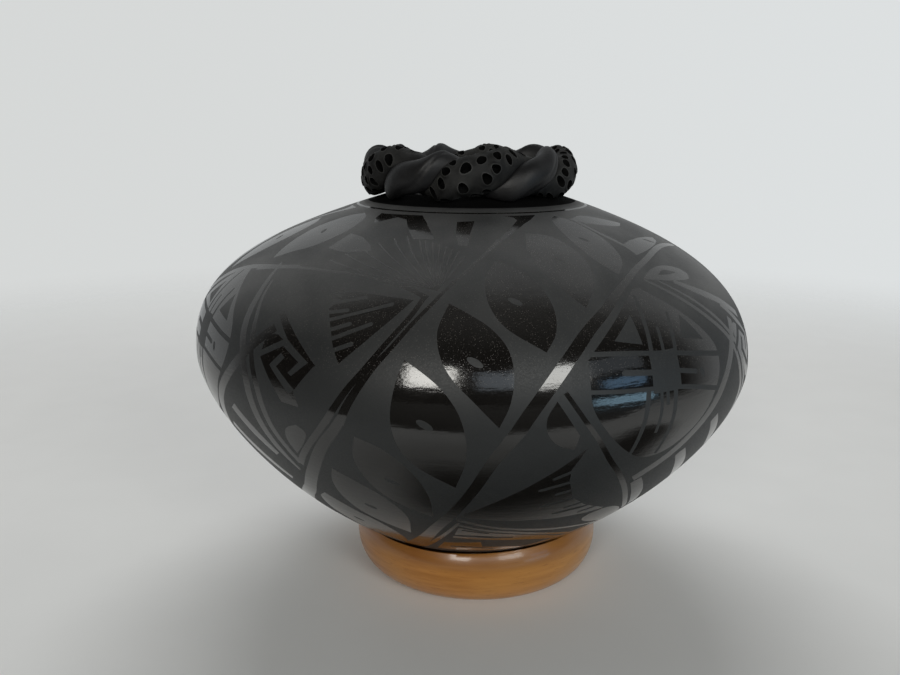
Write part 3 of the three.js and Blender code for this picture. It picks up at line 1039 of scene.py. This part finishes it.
def matte_slip():
    """The fine-grained painted slip."""
    material, n, place = new_material("matte_slip")
    cloud = n.noise(place, 70.0, 4.0)
    grain = n.noise(place, 2600.0, 2.0)
    # The dust thins out near the neck, leaving painted shade round the collar.
    specks, dust_film_and_shade = dust(n, place, (0.023, 0.030))
    colour = n.mix(cloud, (0.0104, 0.0118, 0.0122), (0.0167, 0.0183, 0.0189))
    colour = n.mix(n.times(dust_film_and_shade, 0.25), colour, FILM)
    colour = n.mix(n.times(specks, 0.35), colour, GREY_SPECKS)
    # Painted shade: the slip goes near-black and rougher close under the collar, where its shadow falls.
    under_collar_shade = n.ramp(off_axis(n, place), 0.0285, 0.0310, 0.9, 0.0)  # painted shade close under the collar
    colour = n.mix(under_collar_shade, colour, (0.003,) * 3)
    rough = n.plus(n.ramp(grain, 0.3, 0.7, 0.50, 0.60), n.times(under_collar_shade, 0.4))
    finish_material(n, grain, 0.25, 0.00008, colour, rough, IOR=1.53,
                    Sheen_Weight=n.times(dust_film_and_shade, 0.14))
    return material


def raw_clay():
    """Wiped grey-black clay of the inside, the lip and the bottom."""
    material, n, place = new_material("raw_clay")
    wipes = n.noise(n.stretched(place, (90, 90, 420)), 1.0, 5.0, 0.6)
    grain = n.noise(place, 1500.0, 2.0)
    colour = n.mix(wipes, (0.018, 0.0175, 0.017), (0.045, 0.043, 0.041))
    height = n.plus(wipes, n.times(grain, 0.4))
    finish_material(n, height, 0.5, 0.0003, colour, 0.75)
    return material


def collar_clay(name, dark, light, rough, shine):
    """Clay of the collar. It goes black towards the foot of the neck: painted shade where the collar sits
    on the jar.
    """
    material, n, place = new_material(name)
    cloud = n.noise(place, 160.0, 4.0)
    grain = n.noise(place, 2200.0, 3.0)
    pits = n.noise(place, 700.0, 2.0)
    colour = n.mix(n.ramp(cloud, 0.32, 0.68), dark, light)
    # Painted shade: darker towards the foot of the neck, low on the collar.
    foot = n.ramp(upwards(n, place), 0.1055, 0.1125, 0.85, 0.0)
    colour = n.mix(foot, colour, (0.0025,) * 3)
    height = n.plus(grain, n.times(pits, 1.5))
    rough = n.ramp(cloud, 0.3, 0.7, rough, rough + 0.12)
    finish_material(n, height, 0.35, 0.00012, colour, rough, IOR=1.5, Specular_IOR_Level=shine)
    return material


def lacquered_wood():
    """Amber lacquer over turned wood. It is darker at the top, next to the jar: painted shade under the
    jar's overhang.
    """
    material, n, place = new_material("lacquered_wood")
    grain = n.noise(n.stretched(place, (55, 55, 700)), 1.0, 5.0, 0.6)
    pores = n.noise(n.stretched(place, (260, 260, 2600)), 1.0, 3.0, 0.6)
    patches = n.noise(place, 30.0, 2.0)
    colour = n.mix(n.ramp(grain, 0.3, 0.7), (0.43, 0.188, 0.040), (0.32, 0.124, 0.021))
    colour = n.mix(n.ramp(patches, 0.35, 0.7, 0.0, 0.5), colour, (0.48, 0.235, 0.057))
    colour = n.mix(n.ramp(pores, 0.58, 0.75, 0.0, 0.55), colour, (0.15, 0.05, 0.012))
    # Painted shade: the top of the ring, under the jar, is darkened.
    seat = n.ramp(upwards(n, place), 0.0095, 0.0130, 0.0, 0.55)
    colour = n.mix(seat, colour, (0.13, 0.040, 0.004))
    finish_material(n, grain, 0.08, 0.0003, colour, n.ramp(grain, 0.3, 0.7, 0.30, 0.42),
                    IOR=1.5, Coat_Weight=0.45, Coat_Roughness=0.12)
    return material


# ---- scene
add_camera()
add_world()
add_floor()
add_lights()
# Painted shade: dark cards on the floor, seen only in the jar's reflections.
for name, flag in FLOOR_SHADE_CARDS.items():
    add_floor_shade_card(name, *flag)
# The jar's fourth material is painted shade for the foot of the neck, under the collar.
make_jar([burnished_clay(), matte_slip(), raw_clay(),
          collar_clay("neck_foot_shade_clay", *SHADE_CLAY)])
make_strand("smooth_collar_strand", SMOOTH, "smooth_strand",
            [collar_clay("smooth_collar_clay", (0.008, 0.008, 0.0085), (0.016, 0.016, 0.017),
                         0.46, 0.4)])
make_strand("pierced_collar_strand", PIERCED, "pierced_strand",
            [collar_clay("pierced_collar_clay", (0.006,) * 3, (0.024, 0.024, 0.023),
                         0.62, 0.3),
             # The insides of the holes are painted near-black: painted shade in place of their depth.
             collar_clay("hole_shade_clay", *SHADE_CLAY),
             # The raised rims round the holes get a paler clay.
             collar_clay("pale_rim_clay", (0.018, 0.018, 0.017), (0.040, 0.040, 0.038), 0.6, 0.4)],
            holes=True)
make_ring(lacquered_wood())
bpy.context.scene.view_settings.view_transform = "Standard"
